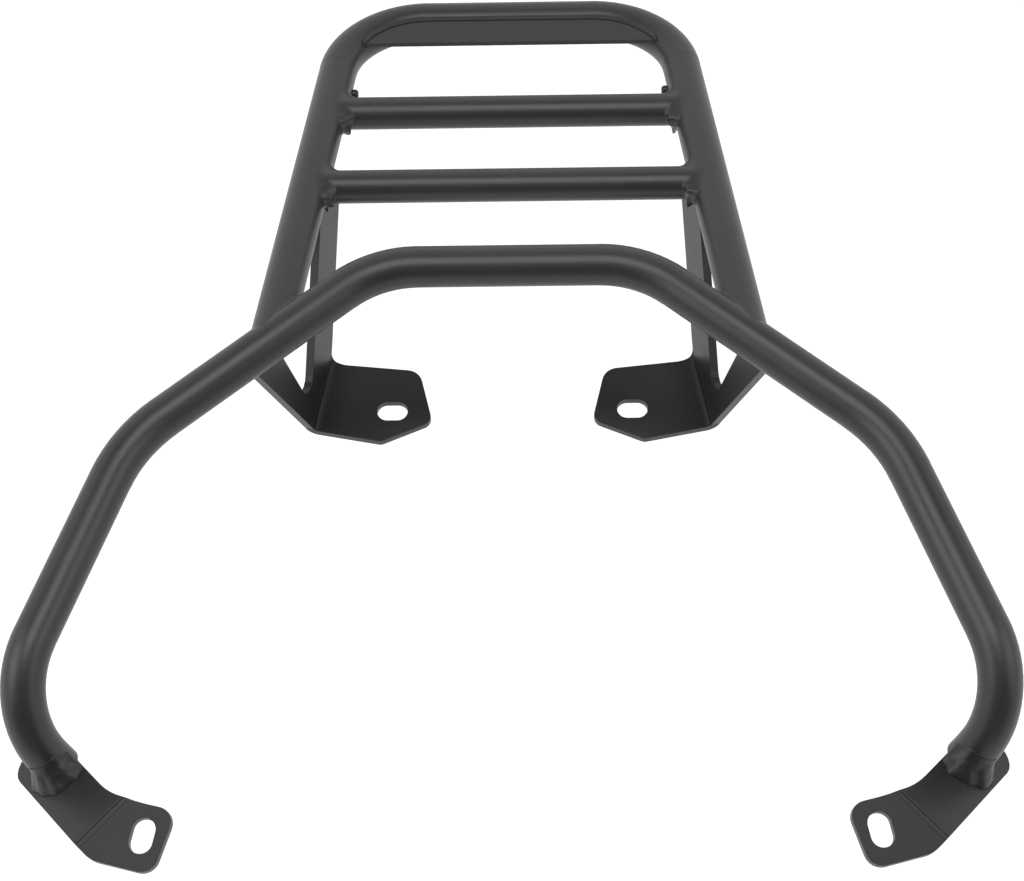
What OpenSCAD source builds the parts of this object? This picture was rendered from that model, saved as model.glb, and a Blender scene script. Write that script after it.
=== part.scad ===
// Welded tube rack that carries a bag over the tail of a two-wheeled machine.
// X runs across, +Y points to the rear and +Z up. The deck tubes lie level.
// The origin is midway between the two slots of the side brackets, on the
// upper faces of their flanges. The seat hoop, the bracket flanges and the
// feet follow the slope of the rails under them, so one angle drives all.

/* [Main tubes] */
// outside diameter of the hoop and deck tubes
tube_d = 19; // [16:0.5:22]
// wall thickness of the hoop and deck tubes
tube_wall = 2; // [1.2:0.1:3]
// outside diameter of the two crossbars
bar_d = 16; // [12:0.5:18]
// wall thickness of the crossbars
bar_wall = 1.5; // [1:0.1:2.5]

/* [Seat hoop] */
// slope of the rails, which the hoop and the mounting faces follow
rail_angle = 17; // [12:0.5:20]
// height of the hoop's rear bar above the origin
hoop_h = 99; // [95:0.5:105]
// distance of the hoop's rear bar in front of the origin
hoop_y = 3.4; // [0:0.2:8]
// half the distance between the two rear corners of the hoop
hoop_x1 = 60.6; // [56:0.2:66]
// half the distance between the two middle corners
hoop_x2 = 168; // [162:0.5:172]
// distance of the middle corners in front of the rear bar
hoop_y2 = 83.6; // [80:0.2:88]
// half the distance between the two lower corners
hoop_x3 = 213.4; // [208:0.2:218]
// distance of the lower corners in front of the rear bar
hoop_y3 = 201.7; // [196:0.1:206]
// bend radius of the rear corners, to the tube's axis
bend_r1 = 53.4; // [48:0.2:58]
// bend radius of the middle corners
bend_r2 = 70.4; // [60:0.2:80]
// bend radius of the lower corners
bend_r3 = 40.3; // [36:0.1:42]
// angle by which each leg leans in as it goes down
leg_in = 28; // [26:0.1:30]
// angle by which each leg leans forward as it goes down
leg_fwd = 5.7; // [4:0.1:8]
// length of a leg from its corner point to its foot
leg_len = 42; // [40:0.5:48]

/* [Deck] */
// how far the deck tubes lie below the hoop's rear bar
deck_drop = 11.3; // [10:0.1:12.5]
// half the width of the deck between tube axes at its rear corners
deck_x = 82.8; // [80:0.2:86]
// distance of the deck's rear tube behind the origin
deck_y = 195.4; // [185:0.2:205]
// angle by which each side of the deck spreads towards the front
deck_spread = 6; // [5.5:0.1:6.5]
// bend radius of the deck's rear corners
deck_r = 45.4; // [40:0.2:50]
// distance of the rear crossbar behind the origin
rear_bar_y = 121.2; // [115:0.2:128]
// distance of the front crossbar behind the origin
front_bar_y = 65.8; // [60:0.2:72]

/* [Rear plate] */
// thickness of the plate in the deck's rear corners
plate_t = 2.3; // [1.5:0.1:3]
// height of the plate's upper face above the tube axis
plate_h = 6.7; // [6:0.1:7.2]
// distance from the rear tube's axis to the plate's front edge
plate_reach = 26.5; // [24:0.5:30]

/* [Studs] */
// diameter of the studs inside the deck's sides
stud_d = 4.8; // [4:0.2:6]
// how far a stud stands in from the deck tube
stud_len = 2.8; // [2:0.2:3.4]
// distance of the studs behind the rear crossbar
stud_back = 19; // [16:0.5:26]

/* [Side brackets] */
// thickness of the bracket and foot sheet
sheet_t = 4; // [3:0.5:5]
// distance between the two bracket slots
slot_span = 117.4; // [112:0.2:122]
// width of every slot
slot_w = 10; // [8.5:0.5:11]
// end to end length of every slot
slot_len = 15; // [13:0.5:17]
// angle between a bracket's fold and the rail
fold_turn = 11; // [9:0.5:12]
// distance from the slot to the fold line
fold_x = 35.3; // [33:0.1:38]
// inside radius of the bends in the sheet
fold_r = 3; // [2.5:0.5:4]
// angle by which each side plate leans out from the flange's square
fold_lean = 11; // [9:0.5:12]
// distance from the slot to the flange's front edge
flange_front = 17.2; // [16:0.2:19]
// distance from the slot to the flange's rear edge
flange_rear = 24; // [22:0.5:26]
// distance from the slot to the flange's inner corner
flange_end = 20.4; // [19:0.2:23]
// angle by which the flange's rear edge runs forward towards the fold
rear_slope = 5; // [3:0.5:7]
// radius of the round between the flange's rear edge and the rear arm
inner_r = 9; // [7:0.5:10]
// distance from the slot back to the front arm's inner edge, measured forward
arm_in = 9.3; // [8:0.1:10]
// how far the front arm leans forward as it rises
arm_lean = 10; // [8:0.5:11]
// slope of the rear arm over the flange
arm_angle = 31; // [29:0.5:33]
// how far behind the front crossbar the rear arm ends
arm_end = 14; // [12:0.5:16]
// width of the rear arm across its length
arm_w2 = 24.5; // [22:0.5:28]
// corner radius of the sheet parts
corner_r = 5; // [3:0.5:6]

/* [Feet] */
// width of the foot strip
foot_w = 26.5; // [25:0.5:30]
// length of the foot strip from the tube's axis to its bend
foot_len = 48.5; // [46:0.5:51]
// distance from the tube's axis to the foot strip's free end
foot_back = 25; // [22:0.5:27]
// angle of the bend in the foot
foot_bend = 35; // [30:1:38]
// direction of the foot strip, turned forward from straight in
foot_turn = 47; // [44:0.5:50]
// how far the foot strip's middle lies in front of the tube's axis
foot_off = 3.3; // [2.5:0.1:4]
// how much narrower the foot strip is on the tube's side of its inner round
foot_neck = 2.6; // [1.5:0.1:3]
// radius of the round where the strip widens into the pad
foot_round = 50; // [40:1:60]
// angle by which the pad's inner edge runs away from the strip's
pad_turn = 30; // [27:0.5:33]
// reach of the pad's outer corner point beyond its bend
pad_len = 32.5; // [31:0.5:34]
// distance from the foot's bend to its slot
pad_slot = 17.6; // [16.5:0.2:19]

/* [Welds] */
// leg of the weld fillets between tubes
weld = 3.4; // [2:0.2:4]
// leg of the weld fillets along the sheet parts
weld_s = 2.6; // [2:0.2:3.4]

/* [Hidden] */
$fn = 64;
gap = 0.04;
// a bend is this much fuller than the straights that run into it
full = 0.06;
lap = 0.4;
// a length that surely reaches past any joint
far = 5 * tube_d;
tr = tube_d / 2;
ti = tr - tube_wall;
br = bar_d / 2;
bi = br - bar_wall;
rise = tan(rail_angle);

// the hoop's corner points on the right side, then the end of its leg
h1 = [hoop_x1, -hoop_y, hoop_h];
h2 = [hoop_x2, -hoop_y - hoop_y2, hoop_h - hoop_y2 * rise];
h3 = [hoop_x3, -hoop_y - hoop_y3, hoop_h - hoop_y3 * rise];
leg_dir = unit([-tan(leg_in), -tan(leg_fwd), -1]);
h4 = h3 + leg_dir * leg_len;

// the deck's corner and the point where its side meets the hoop's slant
deck_z = hoop_h - deck_drop;
side_dir = [sin(deck_spread), -cos(deck_spread), 0];
dc = [deck_x, deck_y, deck_z];
slant = h2 - h1;
meet_s = (dc[0] - h1[0] + (dc[1] - h1[1]) * tan(deck_spread)) / (slant[0] + slant[1] * tan(deck_spread));
meet = [h1[0] + slant[0] * meet_s, h1[1] + slant[1] * meet_s, deck_z];

function unit(v) = v / norm(v);
function turn_of(a, b) = acos(unit(a) * unit(b));
function side_x(y) = deck_x + (deck_y - y) * tan(deck_spread);

// points of an arc that rounds the corner p between its neighbours a and b
function arc_at(a, p, b, r) =
    let (u = unit(a - p), w = unit(b - p), half = acos(u * w) / 2)
    let (c = p + unit(u + w) * r / sin(half), t = r / tan(half))
    let (s = p + u * t - c, e = p + w * t - c)
    [for (k = [0 : 6]) c + r * unit(s * sin((1 - k / 6) * (90 - half) * 2) + e * sin(k / 6 * (90 - half) * 2))];
function rounded(pts, rr) =
    [for (i = [0 : len(pts) - 1])
        for (q = rr[i] < 0.1 ? [pts[i]] : arc_at(pts[(i + len(pts) - 1) % len(pts)], pts[i], pts[(i + 1) % len(pts)], rr[i])) q];

// puts its children at p with their Z along z and their X as near x as can be
module aim(p, z, x) {
    c = unit(z);
    a = unit(x - c * (x * c));
    b = cross(c, a);
    multmatrix([[a[0], b[0], c[0], p[0]], [a[1], b[1], c[1], p[1]], [a[2], b[2], c[2], p[2]], [0, 0, 0, 1]])
        children();
}

module pipe(l, ro, ri) {
    difference() {
        cylinder(h = l, r = ro);
        translate([0, 0, -1]) cylinder(h = l + 2, r = ri);
    }
}

module ring(ro, ri) {
    difference() {
        circle(r = ro);
        circle(r = ri);
    }
}

module run(p, q, ro, ri) {
    aim(p, q - p, [0.1, 0.2, 1]) pipe(norm(q - p), ro, ri);
}

// a straight whose ends p and q run a little way into the bends
module straight(p, q, e = 1) {
    u = unit(q - p) * lap;
    run(p - u, q + u * e, tr, ti);
}

module rod(p, q, r) {
    aim(p, q - p, [0.1, 0.2, 1]) cylinder(h = norm(q - p), r = r);
}

// bend at corner b, coming from a and leaving to c
module elbow(a, b, c, r) {
    u = unit(b - a);
    w = unit(c - b);
    n = unit(w - u * (u * w));
    t = r * tan(turn_of(u, w) / 2);
    aim(b - u * t + n * r, cross(-n, u), -n)
        rotate_extrude(angle = turn_of(u, w)) translate([r, 0]) ring(tr + full, ti - full);
}

function cut_at(b, to, t) = b + unit(to - b) * t;
t1 = bend_r1 * tan(turn_of(h1 - [0, h1[1], h1[2]], h2 - h1) / 2);
t2 = bend_r2 * tan(turn_of(h2 - h1, h3 - h2) / 2);
t3 = bend_r3 * tan(turn_of(h3 - h2, h4 - h3) / 2);
td = deck_r * tan((90 - deck_spread) / 2);

module left() {
    mirror([1, 0, 0]) children();
}

// MAIN TUBES
module hoop_side() {
    elbow([0, h1[1], h1[2]], h1, h2, bend_r1);
    straight(cut_at(h1, h2, t1), cut_at(h2, h1, t2));
    elbow(h1, h2, h3, bend_r2);
    straight(cut_at(h2, h3, t2), cut_at(h3, h2, t3));
    elbow(h2, h3, h4, bend_r3);
    straight(cut_at(h3, h4, t3), h4, 0);
}

module hoop_tube() {
    color("dimgray") union() {
        straight([t1 - hoop_x1, h1[1], h1[2]], [hoop_x1 - t1, h1[1], h1[2]]);
        hoop_side();
        left() hoop_side();
    }
}

module slant_rod(r) {
    rod(h1 - unit(slant) * tr, h2, r);
}

module deck_side() {
    difference() {
        straight(cut_at(dc, meet, td), meet + side_dir * 1.3 * tr);
        slant_rod(tr + gap);
        front_half(0);
    }
}

turn_plan = atan2(slant[1], slant[0]);

// everything in front of the hoop's slanted tube
module front_half(back) {
    translate([meet[0], meet[1], deck_z - far / 2]) rotate([0, 0, turn_plan])
        translate([-far, back - far, 0]) cube([2 * far, far, far]);
}

module deck_tube() {
    color("dimgray") union() {
        straight([td - deck_x, deck_y, deck_z], [deck_x - td, deck_y, deck_z]);
        elbow([0, deck_y, deck_z], dc, meet, deck_r);
        left() elbow([0, deck_y, deck_z], dc, meet, deck_r);
        deck_side();
        left() deck_side();
    }
}

module side_rod(r) {
    rod([side_x(deck_y), deck_y, deck_z], meet, r);
}

module crossbar(y) {
    difference() {
        run([-side_x(y), y, deck_z], [side_x(y), y, deck_z], br, bi);
        side_rod(tr + gap);
        left() side_rod(tr + gap);
    }
}

module front_crossbar() {
    color("gray") crossbar(front_bar_y);
}

module rear_crossbar() {
    color("gray") crossbar(rear_bar_y);
}

// REAR PLATE
module rear_corner_rods(r) {
    rod([-deck_x, deck_y, deck_z], [deck_x, deck_y, deck_z], r);
    side_rod(r);
    left() side_rod(r);
}

module rear_plate() {
    yf = deck_y - plate_reach;
    pts = [[-side_x(yf), yf], [side_x(yf), yf], [deck_x, deck_y], [-deck_x, deck_y]];
    color("dimgray") difference() {
        translate([0, 0, deck_z + plate_h - plate_t])
            linear_extrude(plate_t) polygon(rounded(pts, [0, 0, deck_r, deck_r]));
        rod([td - deck_x - 1, deck_y, deck_z], [deck_x - td + 1, deck_y, deck_z], tr + gap);
        corner_torus();
        left() corner_torus();
        side_rod(tr + gap);
        left() side_rod(tr + gap);
    }
}

module corner_torus() {
    aim([deck_x - td, deck_y - deck_r, deck_z], [0, 0, -1], [0, 1, 0])
        rotate_extrude(angle = 90 - deck_spread) translate([deck_r, 0]) circle(r = tr + full + gap);
}

// cross-section of the seam, at distance q in from the tube axis
function seam(s, g) = let (q = sqrt(tr * tr - plate_h * plate_h) + 0.2, z = plate_h + gap)
    [[q - g, s * (z - g / 2)], [q + 2.2 + 2 * g, s * (z - g / 2)], [q - 1.15 - g, s * (z + 1.15 + 2 * g)]];

module rear_plate_weld() {
    color("silver") union() {
        aim([deck_x - td + lap, deck_y, deck_z], [-1, 0, 0], [0, -1, 0])
            linear_extrude(2 * (deck_x - td + lap)) polygon(seam(1, 0));
        corner_seam();
        left() corner_seam();
    }
}

module corner_seam() {
    aim([deck_x - td, deck_y - deck_r, deck_z], [0, 0, -1], [0, 1, 0])
        rotate_extrude(angle = 90 - deck_spread)
            polygon([for (p = seam(-1, full)) [deck_r - p[0], p[1]]]);
}

// STUDS
module stud() {
    y = rear_bar_y + stud_back;
    x0 = side_x(y) - tr - stud_len;
    difference() {
        translate([x0, y, deck_z - 3]) rotate([0, 90, 0]) union() {
            cylinder(h = 1, r1 = stud_d / 2 - 0.9, r2 = stud_d / 2);
            translate([0, 0, 1]) cylinder(h = 5, r = stud_d / 2);
        }
        side_rod(tr + gap);
        corner_torus();
    }
}

module right_stud() {
    color("gray") stud();
}

module left_stud() {
    color("gray") left() stud();
}

// SIDE BRACKETS
fold = 90 - fold_lean;
tl = fold_r * tan(fold / 2);
ys = [0, cos(rail_angle), sin(rail_angle)];
zs = [0, -sin(rail_angle), cos(rail_angle)];
xf = [cos(fold_turn), 0, 0] + ys * sin(fold_turn);
yf = [-sin(fold_turn), 0, 0] + ys * cos(fold_turn);
wf = xf * sin(fold_lean) + zs * cos(fold_lean);
nf = cross(yf, wf);
fold_p = [slot_span / 2, 0, 0] + xf * fold_x;

// a row point in the side plate's own directions: back, up and out
function in_plate(p) = [(p - fold_p) * yf, (p - fold_p) * wf, (p - fold_p) * nf];
deck_a = in_plate([side_x(front_bar_y), front_bar_y, deck_z]);
deck_b = in_plate([side_x(rear_bar_y), rear_bar_y, deck_z]);
function deck_w(y) = deck_a[1] + (deck_b[1] - deck_a[1]) * (y - deck_a[0]) / (deck_b[0] - deck_a[0]);
end_y = in_plate([side_x(front_bar_y + arm_end), front_bar_y + arm_end, deck_z])[0];
hoop_s = ((fold_p - h1) * nf) / (slant * nf);
arm_top = in_plate(h1 + slant * hoop_s)[1] - 0.78 * tr;
function low_edge(y) = tl + (y - flange_rear) * tan(arm_angle);
function high_edge(y) = low_edge(y) + arm_w2 / cos(arm_angle);
up_y = (deck_w(0) - high_edge(0)) / (tan(arm_angle) - deck_w(1) + deck_w(0));

module slot_frame() {
    translate([slot_span / 2, 0, 0]) rotate([rail_angle, 0, 0]) children();
}

module sheet_frame() {
    slot_frame() rotate([0, 0, fold_turn]) children();
}

module plate_frame() {
    sheet_frame() translate([fold_x, 0, 0]) rotate([0, fold_lean, 0]) rotate([90, 0, 90]) children();
}

module slot_cut() {
    h = 4 * sheet_t;
    k = (slot_len - slot_w) / 2;
    translate([-k, 0, -h / 2]) cylinder(h = h, r = slot_w / 2);
    translate([k, 0, -h / 2]) cylinder(h = h, r = slot_w / 2);
    translate([-k, -slot_w / 2, -h / 2]) cube([2 * k, slot_w, h]);
}

// the round corner between the flange's rear edge and the rear arm, seen
// square to the middle of the bend
rear_x = -0.42 * flange_end;
corner_y = flange_rear - (fold_x - rear_x) * tan(rear_slope);
squash = cos(fold / 2);
edge_a = unit([-squash, tan(rear_slope)]);
edge_b = unit([squash * tan(arm_angle), 1]);
half_c = acos(edge_a * edge_b) / 2;
round_c = unit(edge_a + edge_b) * inner_r / sin(half_c);
round_a = edge_a * inner_r / tan(half_c);

module inner_round() {
    sheet_frame() aim([fold_x, corner_y, 0], [-sin(fold / 2), 0, squash], [0, 1, 0])
        translate([round_c[1], -round_c[0], -2 * sheet_t]) cylinder(h = 4 * sheet_t, r = inner_r);
}

module flange_shape() {
    x1 = fold_x - tl + lap;
    pts = [[x1, -flange_front], [0.12 * flange_front, -flange_front], [-flange_end, -0.1 * flange_end],
           [rear_x, flange_rear], [fold_x + round_a[0] / squash, corner_y + round_a[1]], [x1, flange_rear]];
    polygon(rounded(pts, [0, corner_r, corner_r, 1.6 * corner_r, 0, 0]));
}

// outline of the side plate: a foot along the fold and two arms
module plate_shape() {
    lean = tan(arm_lean);
    pts = [[-flange_front, tl - lap], [flange_rear, tl - lap], [end_y, low_edge(end_y)], [end_y, deck_w(end_y)],
           [up_y, deck_w(up_y)], [-arm_in, high_edge(-arm_in)], [-arm_in, arm_top],
           [-flange_front - (arm_top - tl) * lean, arm_top]];
    polygon(rounded(pts, [0, 0, 0, 0, 0, 1.6 * corner_r, 0, 0]));
}

module bracket() {
    difference() {
        union() {
            sheet_frame() translate([0, 0, -sheet_t]) linear_extrude(sheet_t) flange_shape();
            sheet_frame() aim([fold_x - tl, flange_rear, fold_r], [0, -1, 0], [0, 0, -1])
                rotate_extrude(angle = fold) translate([fold_r - full, 0]) square([sheet_t + 2 * full, flange_front + flange_rear]);
            plate_frame() linear_extrude(sheet_t) plate_shape();
        }
        slot_frame() slot_cut();
        inner_round();
        slant_rod(tr + gap);
        side_rod(tr + gap);
    }
}

module right_bracket() {
    color("slategray") bracket();
}

module left_bracket() {
    color("slategray") left() bracket();
}

// FEET
foot_tp = (fold_r + sheet_t) * tan(foot_bend / 2);

module foot_frame() {
    aim(h4 + leg_dir * gap, -leg_dir, [-cos(foot_turn), -sin(foot_turn), 0]) children();
}

// edges of the strip: outer, inner at the bend and inner at the neck
foot_y1 = foot_off + foot_w / 2;
foot_y0 = foot_off - foot_w / 2;
foot_yn = foot_y0 + foot_neck;

// the long inner round, seen square to the middle of the bend
foot_squash = cos(foot_bend / 2);
foot_a = [-1, 0];
foot_b = unit([foot_squash, -tan(pad_turn)]);
foot_half = acos(foot_a * foot_b) / 2;
foot_c = [-foot_neck * foot_squash / tan(pad_turn), foot_yn];
round_f = foot_c + unit(foot_a + foot_b) * foot_round / sin(foot_half);
neck_x = foot_len + (foot_c[0] - foot_round / tan(foot_half)) / foot_squash;
foot_spare = 0.75 * foot_neck;

module foot_inner_round() {
    translate([foot_len, 0, 0]) rotate([0, foot_bend / 2, 0]) translate([round_f[0], round_f[1], -3 * sheet_t])
        cylinder(h = 5 * sheet_t, r = foot_round - full);
}

module pad_shape() {
    w = foot_w;
    l = pad_len;
    u = foot_c + foot_b * foot_round / tan(foot_half);
    pts = [[foot_tp - lap, foot_y1], [0.28 * l, foot_y1], [l, foot_y1 - 0.5 * w],
           [0.63 * l, foot_y0 - 0.63 * l * tan(pad_turn)], [u[0] / foot_squash, u[1]],
           [foot_tp - lap, foot_y0 - foot_spare]];
    polygon(rounded(pts, [0, 2.6 * corner_r, 1.4 * corner_r, 1.3 * corner_r, 0, 0]));
}

module foot() {
    w = foot_w;
    x0 = -foot_back;
    x1 = foot_len - foot_tp;
    yb = foot_y0 - foot_spare;
    pts = [[x0, foot_yn], [neck_x, foot_yn], [x1 + lap, yb], [x1 + lap, foot_y1], [x0, foot_y1]];
    foot_frame() difference() {
        union() {
            translate([0, 0, -sheet_t]) linear_extrude(sheet_t)
                polygon(rounded(pts, [0.44 * w, 0, 0, 0, 0.44 * w]));
            aim([x1, yb, -sheet_t - fold_r], [0, 1, 0], [0, 0, 1])
                rotate_extrude(angle = foot_bend) translate([fold_r - full, 0])
                    square([sheet_t + 2 * full, foot_y1 - yb]);
            translate([foot_len, 0, 0]) rotate([0, foot_bend, 0]) translate([0, 0, -sheet_t])
                linear_extrude(sheet_t) pad_shape();
        }
        foot_inner_round();
        translate([foot_len, 0, 0]) rotate([0, foot_bend, 0]) translate([pad_slot, -0.19 * w, 0])
            rotate([0, 0, 58]) slot_cut();
    }
}

module right_foot() {
    color("slategray") foot();
}

module left_foot() {
    color("slategray") left() foot();
}

// WELDS
// a bead that fills the corners between a crossbar and the deck tube, bigger
// in front than behind, and thin over the top
module bar_weld(y) {
    rf = 1.4 * weld;
    rb = weld;
    h = 0.46 * br;
    r = br + 0.3 + h;
    re = norm([0.7 * br, 0.7 * br + h]);
    x1 = side_x(y) - tr;
    difference() {
        intersection() {
            translate([x1 - rf, y, deck_z - h]) rotate([0, 90, 0]) cylinder(h = rf + 0.6 * tr, r1 = re, r2 = r);
            translate([x1 - rf, y, deck_z + h]) rotate([0, 90, 0]) cylinder(h = rf + 0.6 * tr, r1 = re, r2 = r);
        }
        side_rod(tr + gap);
        rod([0, y, deck_z], [side_x(y), y, deck_z], br + gap);
        translate([x1 - rf, y - br - rf, deck_z - far / 2]) cylinder(h = far, r = rf);
        translate([x1 - rb, y + br + rb, deck_z - far / 2]) cylinder(h = far, r = rb);
        translate([x1 - rf - 1, y + br - 1, deck_z - far / 2]) cube([1 + rf - rb, far, far]);
        plate_frame() translate([0, 0, -gap]) linear_extrude(sheet_t + 2 * gap) plate_shape();
    }
}

module front_bar_weld_right() {
    color("silver") bar_weld(front_bar_y);
}

module front_bar_weld_left() {
    color("silver") left() bar_weld(front_bar_y);
}

module rear_bar_weld_right() {
    color("silver") bar_weld(rear_bar_y);
}

module rear_bar_weld_left() {
    color("silver") left() bar_weld(rear_bar_y);
}

module deck_weld_body(g) {
    intersection() {
        rod(meet - side_dir * 4 * tr, meet + side_dir * 3 * tr, tr + 0.4 * weld + g);
        rod(meet - unit(slant) * 4 * tr, meet + unit(slant) * 4 * tr, tr + 0.4 * weld + g);
    }
}

module deck_weld() {
    difference() {
        deck_weld_body(0);
        rod(meet - side_dir * 5 * tr, meet + side_dir * 5 * tr, tr + gap);
        slant_rod(tr + gap);
        front_half(2);
        plate_frame() translate([0, 0, -gap]) linear_extrude(sheet_t + 2 * gap) plate_shape();
    }
}

module deck_weld_right() {
    color("silver") deck_weld();
}

module deck_weld_left() {
    color("silver") left() deck_weld();
}

module seam_body(y0, y1, w0, w1) {
    difference() {
        plate_frame() translate([y0, w0, -weld_s]) cube([y1 - y0, w1 - w0, sheet_t + 2 * weld_s]);
        plate_frame() translate([y0 - 1, w0 - 1, -gap]) cube([y1 - y0 + 2, w1 - w0 + 2, sheet_t + 2 * gap]);
    }
}

// seams between the rear arm and the deck tube
module arm_weld() {
    difference() {
        intersection() {
            seam_body(up_y - 5, end_y - 3, deck_w(end_y) - 1.6 * tr, deck_w(end_y));
            side_rod(tr + weld_s);
        }
        side_rod(tr + gap);
        rod([0, front_bar_y, deck_z], [side_x(front_bar_y), front_bar_y, deck_z], br + weld + 0.5);
    }
}

module arm_weld_right() {
    color("silver") arm_weld();
}

module arm_weld_left() {
    color("silver") left() arm_weld();
}

// seams between the front arm and the hoop
module brace_weld() {
    lean = tan(arm_lean);
    difference() {
        intersection() {
            seam_body(-flange_front - (arm_top - tl) * lean + 1, -arm_in - 6, arm_top - 8, arm_top);
            slant_rod(tr + weld_s);
        }
        slant_rod(tr + gap);
        side_rod(tr + gap);
        deck_weld_body(gap);
    }
}

module brace_weld_right() {
    color("silver") brace_weld();
}

module brace_weld_left() {
    color("silver") left() brace_weld();
}

module foot_weld() {
    foot_frame() difference() {
        intersection() {
            translate([0, 0, gap]) cylinder(h = weld + 0.6, r1 = tr + weld, r2 = tr + 0.4);
            translate([-foot_w, foot_yn + 0.2, -1]) cube([2 * foot_w, foot_y1 - foot_yn - 0.6, tube_d]);
        }
        translate([0, 0, -1]) cylinder(h = 12, r = tr + gap);
    }
}

module foot_weld_right() {
    color("silver") foot_weld();
}

module foot_weld_left() {
    color("silver") left() foot_weld();
}

hoop_tube();
deck_tube();
front_crossbar();
rear_crossbar();
rear_plate();
left_bracket();
right_bracket();
left_foot();
right_foot();
left_stud();
right_stud();
rear_plate_weld();
front_bar_weld_left();
front_bar_weld_right();
rear_bar_weld_left();
rear_bar_weld_right();
deck_weld_left();
deck_weld_right();
arm_weld_left();
arm_weld_right();
brace_weld_left();
brace_weld_right();
foot_weld_left();
foot_weld_right();
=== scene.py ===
import math

import bmesh
import bpy
import numpy as np
from mathutils import Matrix, Vector


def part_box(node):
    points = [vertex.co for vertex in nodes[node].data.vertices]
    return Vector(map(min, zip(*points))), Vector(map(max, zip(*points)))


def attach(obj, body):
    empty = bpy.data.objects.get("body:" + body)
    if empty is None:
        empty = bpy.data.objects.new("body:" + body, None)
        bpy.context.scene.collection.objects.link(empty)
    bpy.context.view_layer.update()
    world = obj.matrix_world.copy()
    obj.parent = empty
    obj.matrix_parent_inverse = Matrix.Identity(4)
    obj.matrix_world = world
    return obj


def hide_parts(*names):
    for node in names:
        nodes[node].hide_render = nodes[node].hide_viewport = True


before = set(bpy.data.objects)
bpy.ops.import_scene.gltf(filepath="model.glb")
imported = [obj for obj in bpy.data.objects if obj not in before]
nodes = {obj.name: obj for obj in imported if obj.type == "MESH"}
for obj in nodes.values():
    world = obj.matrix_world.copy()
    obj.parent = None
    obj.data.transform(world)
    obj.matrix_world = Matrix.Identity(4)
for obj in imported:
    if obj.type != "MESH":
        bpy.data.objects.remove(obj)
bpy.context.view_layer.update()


# CAMERA
# The place, turn and lens come from a pinhole camera fitted to the outlines of the
# bent tubes in the photograph, which looks down at about 47 degrees.

SENSOR_MM = 36.0
FOCAL_PX = 2300.0
IMAGE_W = 1024.0
CAMERA_PLACE = (0.0155, -0.7759, 0.8150)
ELEVATION = 0.8232
YAW = 0.0207
ROLL = -0.0262

camera_data = bpy.data.cameras.new("photo_camera")
camera_data.sensor_width = SENSOR_MM
camera_data.lens = SENSOR_MM * FOCAL_PX / IMAGE_W
camera_data.clip_end = 20.0
camera = bpy.data.objects.new("photo_camera", camera_data)
bpy.context.collection.objects.link(camera)
camera_turn = Matrix.Rotation(YAW, 4, "Z") @ Matrix.Rotation(math.pi / 2 - ELEVATION, 4, "X")
camera_turn = camera_turn @ Matrix.Rotation(ROLL, 4, "Z")
camera.matrix_world = Matrix.Translation(CAMERA_PLACE) @ camera_turn
bpy.context.scene.camera = camera


# ROOM AND LIGHT
# A white sweep and three soft boxes overhead. A dark roof, front wall and front floor stand
# for the unlit side of the studio, where the camera is, and give the gloss its dark band.
# The camera sees white, with the rack's faint shadow.

WHITE = (1.0, 1.0, 1.0, 1.0)
WORLD_GREY = (0.60, 0.60, 0.61, 1.0)
FLOOR_Z = -0.06
FLOOR_REACH = 6.0
FLOOR_PAPER = (0.85, 0.85, 0.85, 1.0)
FLOOR_FAINT = (0.30, 0.30, 0.30, 1.0)
FLOOR_GLOW = 0.88
DARK_GREY = (0.07, 0.07, 0.07, 1.0)
DARK_ROUGH = 0.9
DARK_FLOOR_Y = -0.62
DARK_FLOOR_Z = FLOOR_Z + 0.002
DARK_OVERLAP = 0.02
FRONT_WALL_Y = -1.70
ROOF_Z = 2.0
ROOF_END_Y = 0.85
ROOM_HALF = 1.7


def node_of(tree, kind, **inputs):
    """A new node with values on its inputs. An underscore in a name stands for a space."""
    n = tree.nodes.new(kind)
    for key, value in inputs.items():
        n.inputs[key.replace("_", " ")].default_value = value
    return n


def put(tree, a, out, b, into):
    """Links output out of node a to input into of node b."""
    tree.links.new(a.outputs[out], b.inputs[into])


def math_node(tree, op, a, b=None, c=None, clamp=False):
    """One Math node. a, b and c are numbers or sockets."""
    n = tree.nodes.new("ShaderNodeMath")
    n.operation = op
    n.use_clamp = clamp
    for i, v in enumerate((a, b, c)):
        if v is None:
            continue
        if isinstance(v, (int, float)):
            n.inputs[i].default_value = v
        else:
            tree.links.new(v, n.inputs[i])
    return n.outputs[0]


def seen_directly(tree):
    """1 on rays from the camera and on mirrored or bent rays, which show the background."""
    path = tree.nodes.new("ShaderNodeLightPath")
    seen = math_node(tree, "MAXIMUM", path.outputs["Is Camera Ray"], path.outputs["Is Glossy Ray"])
    return math_node(tree, "MAXIMUM", seen, path.outputs["Is Transmission Ray"])


world = bpy.data.worlds.new("white_studio")
bpy.context.scene.world = world
world.use_nodes = True
world_tree = world.node_tree
world_tree.nodes.clear()
world_out = world_tree.nodes.new("ShaderNodeOutputWorld")
world_light = node_of(world_tree, "ShaderNodeBackground", Color=WORLD_GREY, Strength=1.0)
world_seen = node_of(world_tree, "ShaderNodeBackground", Color=WHITE, Strength=1.0)
world_mix = world_tree.nodes.new("ShaderNodeMixShader")
world_tree.links.new(seen_directly(world_tree), world_mix.inputs[0])
put(world_tree, world_light, 0, world_mix, 1)
put(world_tree, world_seen, 0, world_mix, 2)
put(world_tree, world_mix, 0, world_out, 0)


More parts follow.
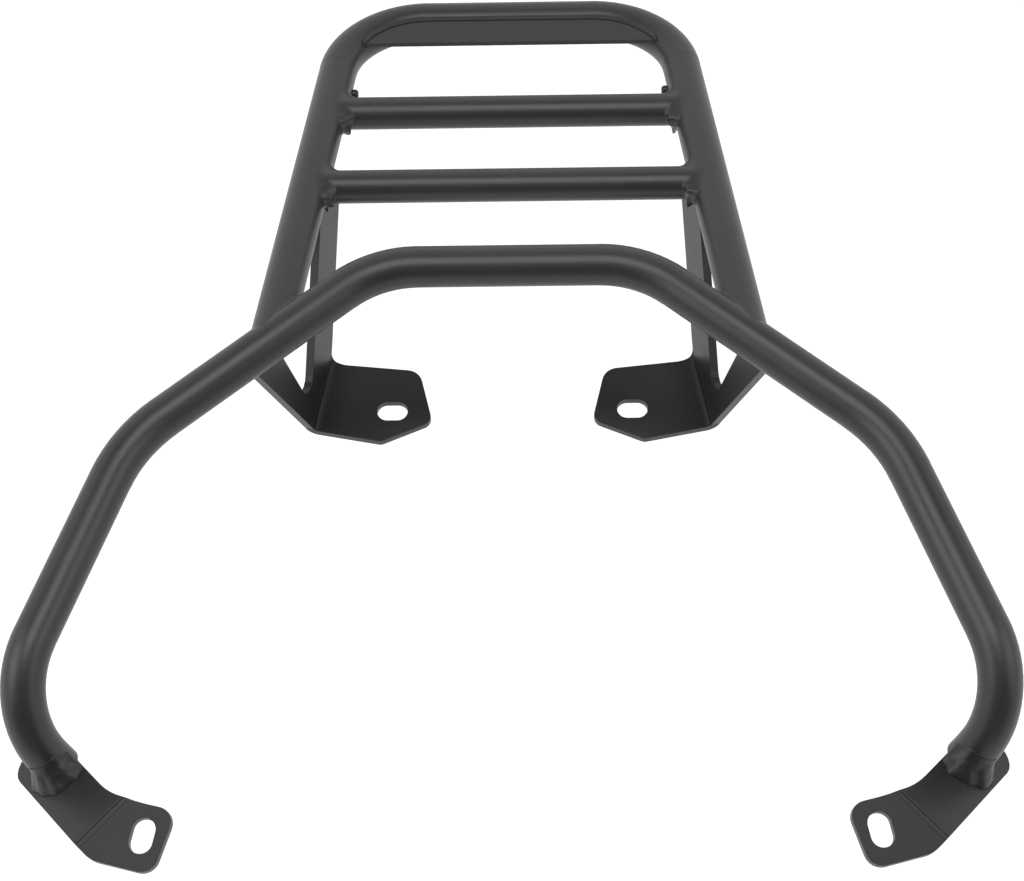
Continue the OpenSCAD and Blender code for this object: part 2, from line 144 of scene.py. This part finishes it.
def soft_box(name, place, size, glow):
    """A square soft box that faces the rack. glow is its brightness, with white paper at 1."""
    data = bpy.data.lights.new(name, "AREA")
    data.shape = "SQUARE"
    data.size = size
    data.energy = glow * math.pi * size * size
    lamp = bpy.data.objects.new(name, data)
    bpy.context.collection.objects.link(lamp)
    lamp.location = place
    lamp.rotation_euler = (-Vector(place)).to_track_quat("-Z", "Y").to_euler()


soft_box("top_soft_box", (0.0, -0.36, 1.46), 0.80, 4.6)
soft_box("left_soft_box", (-1.02, -0.50, 0.95), 0.90, 2.6)
soft_box("right_soft_box", (1.02, -0.42, 0.95), 0.80, 1.7)


def stage_sheet(name, corners, faces):
    """A flat sheet of the studio, which isn't part of the rack."""
    mesh = bpy.data.meshes.new(name)
    mesh.from_pydata(corners, [], faces)
    obj = bpy.data.objects.new(name, mesh)
    bpy.context.collection.objects.link(obj)
    return obj


square_corners = ((-1.0, -1.0), (1.0, -1.0), (1.0, 1.0), (-1.0, 1.0))
floor_corners = [(x * FLOOR_REACH, y * FLOOR_REACH, FLOOR_Z) for x, y in square_corners]
floor = stage_sheet("floor", floor_corners, [(0, 1, 2, 3)])
floor_mat = bpy.data.materials.new("white_floor")
floor_mat.use_nodes = True
floor_tree = floor_mat.node_tree
floor_tree.nodes.clear()
floor_out = floor_tree.nodes.new("ShaderNodeOutputMaterial")
floor_lit = node_of(floor_tree, "ShaderNodeBsdfDiffuse", Color=FLOOR_PAPER)
floor_faint = node_of(floor_tree, "ShaderNodeBsdfDiffuse", Color=FLOOR_FAINT)
floor_glow = node_of(floor_tree, "ShaderNodeEmission", Color=WHITE)
# under the dark sheet in front the floor gets no light, so there it glows in full
floor_place = floor_tree.nodes.new("ShaderNodeSeparateXYZ")
floor_tree.links.new(floor_tree.nodes.new("ShaderNodeTexCoord").outputs["Object"], floor_place.inputs[0])
in_front = math_node(floor_tree, "LESS_THAN", floor_place.outputs["Y"], DARK_FLOOR_Y + DARK_OVERLAP)
glow_strength = math_node(floor_tree, "MULTIPLY_ADD", in_front, 1.0 - FLOOR_GLOW, FLOOR_GLOW)
floor_tree.links.new(glow_strength, floor_glow.inputs["Strength"])
floor_seen = floor_tree.nodes.new("ShaderNodeAddShader")
floor_mix = floor_tree.nodes.new("ShaderNodeMixShader")
put(floor_tree, floor_faint, 0, floor_seen, 0)
put(floor_tree, floor_glow, 0, floor_seen, 1)
floor_tree.links.new(seen_directly(floor_tree), floor_mix.inputs[0])
put(floor_tree, floor_lit, 0, floor_mix, 1)
put(floor_tree, floor_seen, 0, floor_mix, 2)
put(floor_tree, floor_mix, 0, floor_out, 0)
floor.data.materials.append(floor_mat)

# the dark side of the room, from the floor in front, up the front wall and back overhead
room_side = [
    (DARK_FLOOR_Y, DARK_FLOOR_Z), (FRONT_WALL_Y, DARK_FLOOR_Z), (FRONT_WALL_Y, ROOF_Z), (ROOF_END_Y, ROOF_Z)]
room_corners = [(x, y, z) for y, z in room_side for x in (-ROOM_HALF, ROOM_HALF)]
dark_room = stage_sheet("dark_room", room_corners, [(0, 1, 3, 2), (2, 3, 5, 4), (4, 5, 7, 6)])
dark_room.visible_camera = False
dark_mat = bpy.data.materials.new("unlit_wall")
dark_mat.use_nodes = True
dark_shader = dark_mat.node_tree.nodes["Principled BSDF"]
dark_shader.inputs["Base Color"].default_value = DARK_GREY
dark_shader.inputs["Roughness"].default_value = DARK_ROUGH
dark_room.data.materials.append(dark_mat)

bpy.context.scene.view_settings.view_transform = "Standard"


# HOOP TUBE
# One 19 mm steel tube, bent on a mandrel, that runs round the seat. Like everything on the
# rack it wears a satin black powder coat with a faint orange peel.

MM = 0.001
FLOAT = "NodeSocketFloat"
VECTOR = "NodeSocketVector"
COAT_IOR = 1.47
DUST_GREY = (0.16, 0.16, 0.155, 1.0)
DUST_SHARE = 0.35
EDGE_GREY = (0.10, 0.10, 0.10, 1.0)
SOFT_EDGE = 0.35 * MM
# painted light along sheet folds: the grey of a painted highlight and the black of painted shade
FOLD_HIGHLIGHT_GREY = (0.075, 0.075, 0.075, 1.0)
FOLD_SHADE_BLACK = (0.004, 0.004, 0.004, 1.0)
LINE_DEPTH = 0.0003
CLOUD_DULL = 0.12


def group(name, inputs, outputs):
    """A shader node group. inputs are (label, kind, value) and outputs are (label, kind)."""
    g = bpy.data.node_groups.new(name, "ShaderNodeTree")
    for label, kind, value in inputs:
        s = g.interface.new_socket(label, in_out="INPUT", socket_type=kind)
        if value is not None:
            s.default_value = value
    for label, kind in outputs:
        g.interface.new_socket(label, in_out="OUTPUT", socket_type=kind)
    return g, g.nodes.new("NodeGroupInput"), g.nodes.new("NodeGroupOutput")


# coat_grain gives the height of the cured powder: low soft peel, fine grit and a few pores
grain, grain_in, grain_out = group(
    "coat_grain",
    [("Vector", VECTOR, None), ("Peel size", FLOAT, 700.0), ("Peel depth", FLOAT, 0.00003),
     ("Grit depth", FLOAT, 0.00001), ("Pore depth", FLOAT, 0.00004)],
    [("Height", FLOAT)])
peel = node_of(grain, "ShaderNodeTexNoise", Detail=2.0, Roughness=0.5)
put(grain, grain_in, "Vector", peel, "Vector")
put(grain, grain_in, "Peel size", peel, "Scale")
grit = node_of(grain, "ShaderNodeTexNoise", Scale=3200.0, Detail=2.0)
put(grain, grain_in, "Vector", grit, "Vector")
pore = node_of(grain, "ShaderNodeTexVoronoi", Scale=520.0)
put(grain, grain_in, "Vector", pore, "Vector")
pit = math_node(grain, "LESS_THAN", pore.outputs["Distance"], 0.07)
height = math_node(grain, "MULTIPLY", peel.outputs["Fac"], grain_in.outputs["Peel depth"])
height = math_node(grain, "MULTIPLY_ADD", grit.outputs["Fac"], grain_in.outputs["Grit depth"], height)
hole = math_node(grain, "MULTIPLY", pit, grain_in.outputs["Pore depth"])
height = math_node(grain, "SUBTRACT", height, hole)
grain.links.new(height, grain_out.inputs["Height"])

# edge_wear rises along sharp edges, where the coat draws thin, broken up by a patchy noise
wear, wear_in, wear_out = group(
    "edge_wear",
    [("Width", FLOAT, 0.0006), ("Amount", FLOAT, 0.5), ("Vector", VECTOR, None)],
    [("Edge", FLOAT)])
rim = wear.nodes.new("ShaderNodeBevel")
rim.samples = 4
put(wear, wear_in, "Width", rim, "Radius")
geo = wear.nodes.new("ShaderNodeNewGeometry")
dot = wear.nodes.new("ShaderNodeVectorMath")
dot.operation = "DOT_PRODUCT"
put(wear, rim, "Normal", dot, 0)
put(wear, geo, "Normal", dot, 1)
away = math_node(wear, "SUBTRACT", 1.0, dot.outputs["Value"], clamp=True)
patchy = node_of(wear, "ShaderNodeTexNoise", Scale=160.0, Detail=3.0)
put(wear, wear_in, "Vector", patchy, "Vector")
edge = math_node(wear, "MULTIPLY", away, patchy.outputs["Fac"])
edge = math_node(wear, "MULTIPLY", edge, wear_in.outputs["Amount"], clamp=True)
wear.links.new(edge, wear_out.inputs["Edge"])

# coat_drift is the slow change of shade over the coat, with a few specks of dust
drift, drift_in, drift_out = group(
    "coat_drift",
    [("Vector", VECTOR, None), ("Cloud size", FLOAT, 22.0), ("Dust size", FLOAT, 380.0)],
    [("Shade", FLOAT), ("Cloud", FLOAT), ("Dust", FLOAT)])
cloud = node_of(drift, "ShaderNodeTexNoise", Detail=4.0, Roughness=0.55)
put(drift, drift_in, "Vector", cloud, "Vector")
put(drift, drift_in, "Cloud size", cloud, "Scale")
fleck = node_of(drift, "ShaderNodeTexNoise", Scale=1300.0, Detail=2.0, Roughness=0.5)
put(drift, drift_in, "Vector", fleck, "Vector")
blend = math_node(drift, "MULTIPLY", cloud.outputs["Fac"], 0.6)
blend = math_node(drift, "MULTIPLY_ADD", fleck.outputs["Fac"], 0.4, blend)
spread = node_of(drift, "ShaderNodeMapRange", From_Min=0.32, From_Max=0.68)
drift.links.new(blend, spread.inputs["Value"])
dust = node_of(drift, "ShaderNodeTexVoronoi")
put(drift, drift_in, "Vector", dust, "Vector")
put(drift, drift_in, "Dust size", dust, "Scale")
speck = math_node(drift, "LESS_THAN", dust.outputs["Distance"], 0.045)
put(drift, spread, "Result", drift_out, "Shade")
put(drift, cloud, "Fac", drift_out, "Cloud")
drift.links.new(speck, drift_out.inputs["Dust"])


def use_group(tree, shared, vector, **values):
    """Places a shared group in a material, with the material's own values on its inputs."""
    g = tree.nodes.new("ShaderNodeGroup")
    g.node_tree = shared
    for key, value in values.items():
        g.inputs[key.replace("_", " ")].default_value = value
    tree.links.new(vector, g.inputs["Vector"])
    return g


def mixed(tree, factor, a, b):
    """Colour a, turned to b by factor. Each colour is four numbers or a socket."""
    m = tree.nodes.new("ShaderNodeMix")
    m.data_type = "RGBA"
    for label, value in (("A", a), ("B", b)):
        socket = next(s for s in m.inputs if s.name == label and s.type == "RGBA")
        if isinstance(value, tuple):
            socket.default_value = value
        else:
            tree.links.new(value, socket)
    tree.links.new(factor, m.inputs[0])
    return next(s for s in m.outputs if s.type == "RGBA")


def powder_coat(name, base, pale, rough, gloss=0.5, peel_depth=0.00003, edge_amount=0.0, crease=None):
    """Satin black powder coat that drifts from base to pale, two dark greys. Sheet metal has
    an edge_amount, which pales and softens its edges. crease gives the masks of a fold: a
    line of painted shade and a painted highlight beside it."""
    mat = bpy.data.materials.new(name)
    mat.use_nodes = True
    t = mat.node_tree
    t.nodes.clear()
    out = t.nodes.new("ShaderNodeOutputMaterial")
    coat = node_of(t, "ShaderNodeBsdfPrincipled", IOR=COAT_IOR, Specular_IOR_Level=gloss)
    place = t.nodes.new("ShaderNodeTexCoord").outputs["Object"]
    g = use_group(t, grain, place, Peel_depth=peel_depth)
    d = use_group(t, drift, place)
    dark = (base, base * 0.98, base * 0.97, 1.0)
    light = (pale, pale * 0.985, pale * 0.98, 1.0)
    tone = mixed(t, d.outputs["Shade"], dark, light)
    if edge_amount > 0.0:
        w = use_group(t, wear, place, Amount=edge_amount)
        tone = mixed(t, w.outputs["Edge"], tone, EDGE_GREY)
    faint = math_node(t, "MULTIPLY", d.outputs["Dust"], DUST_SHARE)
    tone = mixed(t, faint, tone, DUST_GREY)
    lift = g.outputs["Height"]
    if crease is not None:
        # a fold gets a painted highlight and a dark line of painted shade, which is also sunk as a shallow
        # groove
        line, fold_highlight = crease(t, place)
        tone = mixed(t, fold_highlight, tone, FOLD_HIGHLIGHT_GREY)
        tone = mixed(t, line, tone, FOLD_SHADE_BLACK)
        lift = math_node(t, "MULTIPLY_ADD", line, -LINE_DEPTH, lift)
    t.links.new(tone, coat.inputs["Base Color"])
    dull = math_node(t, "MULTIPLY_ADD", d.outputs["Cloud"], CLOUD_DULL, rough - CLOUD_DULL / 2)
    t.links.new(dull, coat.inputs["Roughness"])
    bump = node_of(t, "ShaderNodeBump", Strength=1.0, Distance=1.0)
    t.links.new(lift, bump.inputs["Height"])
    if edge_amount > 0.0:
        soft = t.nodes.new("ShaderNodeBevel")
        soft.samples = 6
        soft.inputs["Radius"].default_value = SOFT_EDGE
        put(t, soft, "Normal", bump, "Normal")
    put(t, bump, "Normal", coat, "Normal")
    put(t, coat, 0, out, 0)
    return mat


def dress(name, material):
    """Gives a CAD node its finish. Its mesh stays as it is."""
    nodes[name].data.materials.clear()
    nodes[name].data.materials.append(material)


tube_coat = powder_coat("tube_coat", base=0.025, pale=0.034, rough=0.38)
dress("hoop_tube", tube_coat)


# DECK TUBE AND CROSSBARS
# The deck is a second 19 mm tube with two bends, whose ends are coped and welded to the
# hoop. Two 16 mm tubes are coped between its sides. They are coated with the hoop.

for name in ("deck_tube", "front_crossbar", "rear_crossbar"):
    dress(name, tube_coat)


# BRACKETS, FEET, REAR PLATE AND STUDS
# Brackets and feet are cut from 4 mm sheet and folded, the rear plate is thinner sheet, and
# the studs are short rod. Along a fold the coat carries a dark line of painted shade over a
# shallow groove, with a painted highlight beside it.

SIDES = ("left", "right")
FOLD_LINE = 0.26 * MM
# the painted highlight lies this far beside the fold's line of painted shade, and is stronger on the feet
# than on the brackets
FOLD_HIGHLIGHT_STEP = 0.55 * MM
FOOT_FOLD_HIGHLIGHT = 0.8
BRACKET_FOLD_HIGHLIGHT = 0.25
EDGE_PALE = 0.6
FOOT_TOP = np.array((193.76, -208.79, 0.39)) * MM
LEG_IN = math.radians(28.0)
LEG_FORWARD = math.radians(5.7)
FOOT_TURN = math.radians(47.0)
FOOT_BEND = 48.5 * MM
FLANGE_FOLD = np.array((93.35, 6.44, 1.97)) * MM
FLANGE_ACROSS = np.array((0.9816, 0.1825, 0.0558))


def unit(v):
    return v / np.linalg.norm(v, axis=-1, keepdims=True)


leg_up = unit(np.array((math.tan(LEG_IN), math.tan(LEG_FORWARD), 1.0)))
foot_ahead = np.array((-math.cos(FOOT_TURN), -math.sin(FOOT_TURN), 0.0))
foot_ahead = unit(foot_ahead - (foot_ahead @ leg_up) * leg_up)


def plane_line(tree, place, point, normal, width):
    """A mask that is 1 close to a plane and 0 past width from it, alike on both sides."""
    parts = tree.nodes.new("ShaderNodeSeparateXYZ")
    tree.links.new(place, parts.inputs[0])
    across = math_node(tree, "ABSOLUTE", parts.outputs["X"])
    off = math_node(tree, "MULTIPLY_ADD", across, float(normal[0]), -float(point @ normal))
    off = math_node(tree, "MULTIPLY_ADD", parts.outputs["Y"], float(normal[1]), off)
    off = math_node(tree, "MULTIPLY_ADD", parts.outputs["Z"], float(normal[2]), off)
    off = math_node(tree, "ABSOLUTE", off)
    band = node_of(tree, "ShaderNodeMapRange", From_Min=width, From_Max=width * 0.3)
    tree.links.new(off, band.inputs["Value"])
    return band.outputs["Result"]


def fold_line(point, across, highlight_share):
    """The two masks of a fold across a sheet: a dark line, painted shade that is also sunk as a shallow
    groove, and a painted highlight beside it.
    """
    def masks(tree, place):
        line = plane_line(tree, place, point, across, FOLD_LINE)
        fold_highlight = plane_line(tree, place, point + FOLD_HIGHLIGHT_STEP * across, across, FOLD_LINE)
        return line, math_node(tree, "MULTIPLY", fold_highlight, highlight_share)
    return masks


sheet = dict(base=0.018, pale=0.025, rough=0.40, gloss=0.40, edge_amount=EDGE_PALE)
sheet_coat = powder_coat("sheet_coat", **sheet)
bracket_crease = fold_line(FLANGE_FOLD, FLANGE_ACROSS, BRACKET_FOLD_HIGHLIGHT)
bracket_coat = powder_coat("bracket_coat", crease=bracket_crease, **sheet)
foot_crease = fold_line(FOOT_TOP + FOOT_BEND * foot_ahead, foot_ahead, FOOT_FOLD_HIGHLIGHT)
foot_coat = powder_coat("foot_coat", crease=foot_crease, **sheet)
for side in SIDES:
    dress(side + "_bracket", bracket_coat)
    dress(side + "_foot", foot_coat)
    dress(side + "_stud", sheet_coat)
dress("rear_plate", sheet_coat)


# TUBE WELDS
# Filler laid where a tube's end meets another tube. It is hollow behind and above, as a
# ball rolled round the corner would press it, and heaped in lumps in front of a bar.

TUBE_R = 9.5 * MM
BAR_R = 8.0 * MM
DECK_LEAN = math.radians(6.0)
DECK_CORNER = (82.8 * MM, 195.4 * MM)
HOOP_FRONT = np.array((60.6, -3.4, 99.0)) * MM
HOOP_SIDE = np.array((168.0, -87.0, 73.44)) * MM
RING_STEPS = 216
ARC_STEPS = 18
EDGE_RUN = 0.4 * MM
EDGE_SINK = 0.04 * MM
CORE_SINK = 0.5 * MM
WELD_PEEL = 0.00005
GOLDEN_TURN = math.pi * (3.0 - math.sqrt(5.0))
weld_coat = powder_coat("weld_coat", base=0.020, pale=0.031, rough=0.40, peel_depth=WELD_PEEL)


def wavy(points, size, seed, waves=9):
    """Smooth noise of about -1 to 1: a scaled sum of plane waves in evenly spread directions."""
    k = np.arange(waves)
    up = 1.0 - 2.0 * (k + 0.5) / waves
    level = np.sqrt(1.0 - up * up)
    spin = GOLDEN_TURN * k + seed
    ways = np.stack([level * np.cos(spin), level * np.sin(spin), up], 1)
    lengths = size * (0.75 + 0.5 * ((k * 0.618 + 0.37 * seed) % 1.0))
    phase = 2.0 * math.pi * points @ (ways / lengths[:, None]).T + seed * (k + 1)
    return np.sin(phase).sum(-1) / math.sqrt(waves * 0.5) / 1.7


def ring_mesh(name, grid):
    """A closed mesh from a grid of points that closes both ways. Its faces point outwards."""
    rows, cols = grid.shape[:2]
    i, j = np.meshgrid(np.arange(rows), np.arange(cols), indexing="ij")
    i2 = (i + 1) % rows
    j2 = (j + 1) % cols
    faces = np.stack([i * cols + j, i2 * cols + j, i2 * cols + j2, i * cols + j2], -1).reshape(-1, 4)
    mesh = bpy.data.meshes.new(name)
    mesh.from_pydata(grid.reshape(-1, 3).tolist(), [], faces.tolist())
    bm = bmesh.new()
    bm.from_mesh(mesh)
    bmesh.ops.recalc_face_normals(bm, faces=bm.faces)
    bm.to_mesh(mesh)
    bm.free()
    obj = bpy.data.objects.new(name, mesh)
    bpy.context.collection.objects.link(obj)
    return obj


def weld_piece(obj, node, coat=weld_coat):
    """Coats a weld, and lets it stand for its CAD node."""
    mesh = obj.data
    mesh.polygons.foreach_set("use_smooth", np.ones(len(mesh.polygons), bool))
    mesh.materials.clear()
    mesh.materials.append(coat)
    mesh.update()
    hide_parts(node)
    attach(obj, "root")


def rolled_fillet(start, way, radius, other, other_way, other_radius, level, ball, heap):
    """The fillet that a ball presses between tube A, which runs along way into tube B.
    Angle turn goes round A from level towards up. For each angle the ball's centre is the
    point at radius + ball from A's axis and other_radius + ball from B's, and the fillet is
    the arc of the ball between the two touching points, raised by heap. Its edges run on a
    little, just under the tubes' surfaces, and its core lies inside them."""
    turn = np.linspace(0.0, 2.0 * math.pi, RING_STEPS, endpoint=False)
    level = unit(level - (level @ way) * way)
    third = np.cross(way, level)
    third = third if third[2] > 0 else -third
    r = ball(turn)[:, None]
    out_a = np.cos(turn)[:, None] * level + np.sin(turn)[:, None] * third
    offset = start + (radius + r) * out_a - other
    offset = offset - (offset @ other_way)[:, None] * other_way
    across = way - (way @ other_way) * other_way
    side_along = (offset @ across)[:, None]
    square = across @ across
    past = (offset * offset).sum(1)[:, None] - (other_radius + r) ** 2
    root = np.sqrt(np.maximum(side_along ** 2 - square * past, 0.0))
    run = (-side_along - root) / square
    centre = start + (radius + r) * out_a + run * way
    out_b = unit(offset + run * across)
    cos = (out_a * out_b).sum(1)[:, None]
    gape = np.arccos(np.clip(cos, -0.999, 0.999))
    s = np.linspace(0.0, 1.0, ARC_STEPS)[None, :, None]
    from_a = np.sin((1.0 - s) * gape[:, None]) * out_a[:, None]
    from_b = np.sin(s * gape[:, None]) * out_b[:, None]
    swing = -(from_a + from_b) / np.sin(gape)[:, None]
    arc = centre[:, None] + r[:, None] * swing
    lift = heap(turn[:, None], s[..., 0], arc)
    arc = arc - lift[..., None] * swing
    touch_a = centre - r * out_a
    touch_b = centre - r * out_b
    away_a = unit(out_b - cos * out_a)
    away_b = unit(out_a - cos * out_b)
    edge_a = touch_a + EDGE_RUN * away_a - EDGE_SINK * out_a
    edge_b = touch_b + EDGE_RUN * away_b - EDGE_SINK * out_b
    deep_a = edge_a - CORE_SINK * out_a
    deep_b = edge_b - CORE_SINK * out_b
    corner = centre - r * (out_a + out_b) / (1.0 + cos) - CORE_SINK * unit(out_a + out_b)
    rows = [deep_a[:, None], edge_a[:, None], arc, edge_b[:, None], deep_b[:, None], corner[:, None]]
    return np.concatenate(rows, 1)


def bar_ball(turn):
    """The ball's radius round a bar: least below, more in front and behind, most on top."""
    front = np.maximum(np.cos(turn), 0.0) ** 1.5
    back = np.maximum(-np.cos(turn), 0.0) ** 1.5
    above = np.maximum(np.sin(turn), 0.0) ** 1.5
    under = np.maximum(-np.sin(turn), 0.0)
    return (1.0 + 3.8 * front + 3.8 * back + 10.5 * above + 0.6 * under) * MM


def bar_heap(seed, shift):
    """The heap before a bar: highest in front and in the fillet's middle, waved round it."""
    def heap(turn, s, at):
        front = np.clip(1.25 * np.cos(turn + 0.30), 0.0, 1.0) ** 2
        crest = np.sin(math.pi * s)
        lump = 0.74 + 0.26 * np.sin(6.0 * turn + seed + 1.5 * shift)
        rough = 0.55 * wavy(at, 6.0 * MM, seed + shift)
        return front * crest * (3.9 * lump + rough) * MM
    return heap


def deck_ball(turn):
    """The ball's radius round the deck tube's end, larger on top and on the inner side."""
    inner = np.maximum(np.cos(turn), 0.0)
    return (1.3 + 1.2 * np.maximum(np.sin(turn), 0.0) + 0.4 * inner) * MM


def deck_heap(shift):
    """The tack in the inner corner of the deck tube and the hoop."""
    def heap(turn, s, at):
        inner = np.clip(np.cos(turn) * 2.2 - 1.2, 0.0, 1.0)
        crest = np.sin(math.pi * s)
        return inner * crest * (1.3 + 0.4 * wavy(at, 2.6 * MM, 4.0 + shift)) * MM
    return heap


MIRROR = {"right": 1.0, "left": -1.0}
BAR_SEEDS = {"front": 3.0, "rear": 5.0}
FORWARD = np.array((0.0, -1.0, 0.0))
for side, m in MIRROR.items():
    flip = np.array((m, 1.0, 1.0))
    deck_way = np.array((math.sin(DECK_LEAN), -math.cos(DECK_LEAN), 0.0)) * flip
    hoop_way = unit(HOOP_SIDE - HOOP_FRONT) * flip
    outwards = np.array((m, 0.0, 0.0))
    for bar, seed in BAR_SEEDS.items():
        low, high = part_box(bar + "_crossbar")
        bar_y = (low[1] + high[1]) / 2
        bar_z = (low[2] + high[2]) / 2
        bar_middle = np.array((0.0, bar_y, bar_z))
        deck_at = np.array((DECK_CORNER[0] * m, DECK_CORNER[1], bar_z))
        ring = rolled_fillet(
            bar_middle, outwards, BAR_R, deck_at, deck_way, TUBE_R, FORWARD, bar_ball, bar_heap(seed, m))
        name = bar + "_bar_weld_" + side
        weld_piece(ring_mesh(name + "_bead", ring), name)
    ring = rolled_fillet(
        deck_at, deck_way, TUBE_R, HOOP_FRONT * flip, hoop_way, TUBE_R, -outwards, deck_ball, deck_heap(m))
    weld_piece(ring_mesh("deck_weld_" + side + "_bead", ring), "deck_weld_" + side)


# FOOT WELDS
# A heavy bead that runs round the hoop's end on the foot strip. It spreads in front and on
# the outer side, and stops at the strip's inner edge, over which the tube stands.

STRIP_INNER = -7.1 * MM
FOOT_RISE_STEPS = 16
FOOT_STEP = 0.7 * MM
HOLLOW_POWER = 1.8
WELD_CORE_R = TUBE_R - 0.7 * MM
WELD_SINK = 0.4 * MM
foot_weld_coat = powder_coat(
    "foot_weld_coat", base=0.018, pale=0.027, rough=0.40, gloss=0.45, peel_depth=WELD_PEEL)
foot_outer = np.cross(leg_up, foot_ahead)
foot_outer = foot_outer if foot_outer[0] > 0 else -foot_outer
turn = np.linspace(0.0, 2.0 * math.pi, RING_STEPS, endpoint=False)[:, None]
s = np.linspace(0.0, 1.0, FOOT_RISE_STEPS)[None, :]

# At angle turn round the leg and share s of the way up, the bead starts with a short upright
# step and then rises evenly with s. Its reach past the tube is its spread times a power of
# what is left of the way, which makes it hollow. Smooth noise then moves it in and out.
for side, m in MIRROR.items():
    near = np.clip(0.55 + 0.6 * np.cos(turn - 0.6), 0.0, 1.0)
    bumps = 0.85 + 0.10 * np.sin(5.0 * turn + 1.3 * m) + 0.07 * np.sin(11.0 * turn + 2.0)
    spread = (1.4 + 5.2 * near * bumps) * MM
    climb = (1.4 + 11.0 * near) * MM
    reach = TUBE_R + spread * (1.0 - s) ** HOLLOW_POWER
    rise = FOOT_STEP * np.minimum(s * 8.0, 1.0) + (climb - FOOT_STEP) * s
    x = reach * np.cos(turn)
    y = np.maximum(reach * np.sin(turn), STRIP_INNER)
    at = FOOT_TOP + x[..., None] * foot_ahead + y[..., None] * foot_outer + rise[..., None] * leg_up
    rough = 0.24 * wavy(at, 6.5 * MM, 8.0 + m) + 0.07 * wavy(at, 2.4 * MM, 6.0 - m)
    away = np.cos(turn)[..., None] * foot_ahead + np.sin(turn)[..., None] * foot_outer
    away = unit(away + 0.8 * leg_up)
    at = at + (rough * np.sin(math.pi * (0.1 + 0.8 * s)) * near * MM)[..., None] * away
    core_x = WELD_CORE_R * np.cos(turn)
    core_y = np.maximum(WELD_CORE_R * np.sin(turn), STRIP_INNER)
    core = FOOT_TOP + core_x[..., None] * foot_ahead + core_y[..., None] * foot_outer
    tucked = core + climb[..., None] * leg_up
    sunk = core - WELD_SINK * leg_up
    skirt = at[:, :1] - WELD_SINK * leg_up
    ring = np.concatenate([skirt, at, tucked, sunk], 1) * np.array((m, 1.0, 1.0))
    name = "foot_weld_" + side
    weld_piece(ring_mesh(name + "_bead", ring), name, foot_weld_coat)


# SEAM WELDS
# Short runs of bead along the edges of the bracket arms and of the rear plate. A bead rises
# in small scallops along its run, with soft lumps.

BEAD_GRID = 0.32 * MM
JOIN_REACH = 0.02 * MM
CUT_REACH = 0.001 * MM
ARM_PITCH = 2.6 * MM
PLATE_PITCH = 3.4 * MM
PLATE_END = 1.0 * MM


def bead(name, run, pitch, scallop, lump, seed, swell, half=None):
    """The bead's solid on a fine grid, pushed out along its normals by a small swell, by
    scallops |sin| of the way along the run, and by soft noise of two sizes. half cuts it off
    at that distance from the middle of the rack."""
    bm = bmesh.new()
    bm.from_mesh(nodes[name].data)
    bmesh.ops.remove_doubles(bm, verts=bm.verts, dist=JOIN_REACH)
    ends = (-1.0, 1.0) if half else ()
    for end in ends:
        parts = list(bm.verts) + list(bm.edges) + list(bm.faces)
        bmesh.ops.bisect_plane(
            bm, geom=parts, dist=CUT_REACH, plane_co=(end * half, 0.0, 0.0), plane_no=(end, 0.0, 0.0),
            clear_outer=True)
        bmesh.ops.holes_fill(bm, edges=[e for e in bm.edges if e.is_boundary])
    joined = bpy.data.meshes.new(name + "_joined")
    bm.to_mesh(joined)
    bm.free()
    solid = bpy.data.objects.new(name + "_joined", joined)
    bpy.context.collection.objects.link(solid)
    net = solid.modifiers.new("grid", "REMESH")
    net.mode = "VOXEL"
    net.voxel_size = BEAD_GRID
    graph = bpy.context.evaluated_depsgraph_get()
    mesh = bpy.data.meshes.new_from_object(solid.evaluated_get(graph))
    bpy.data.objects.remove(solid)
    at = np.empty(len(mesh.vertices) * 3)
    out = np.empty(len(mesh.vertices) * 3)
    mesh.vertices.foreach_get("co", at)
    mesh.vertices.foreach_get("normal", out)
    at = at.reshape(-1, 3)
    out = out.reshape(-1, 3)
    way = at @ unit(np.array(run))
    rise = swell + scallop * (np.abs(np.sin(math.pi * way / pitch)) - 0.5)
    rise = rise + lump * (wavy(at, 4.2 * MM, seed) + 0.4 * wavy(at, 1.7 * MM, seed + 2.0))
    at = at + out * rise[:, None]
    mesh.vertices.foreach_set("co", at.ravel())
    mesh.name = name + "_bead"
    obj = bpy.data.objects.new(name + "_bead", mesh)
    bpy.context.collection.objects.link(obj)
    weld_piece(obj, name)


for side, m in MIRROR.items():
    arm_run = (m * -0.1, 1.0, 0.0)
    brace_run = (m * 0.79, -0.61, 0.0)
    bead("arm_weld_" + side, arm_run, ARM_PITCH,
         scallop=0.12 * MM, lump=0.10 * MM, seed=9.0 + m, swell=0.08 * MM)
    bead("brace_weld_" + side, brace_run, ARM_PITCH,
         scallop=0.14 * MM, lump=0.12 * MM, seed=11.0 + m, swell=0.10 * MM)
plate_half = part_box("rear_plate")[1][0] - PLATE_END
bead("rear_plate_weld", (1.0, 0.0, 0.0), PLATE_PITCH,
     scallop=0.0, lump=0.03 * MM, seed=17.0, swell=0.14 * MM, half=plate_half)
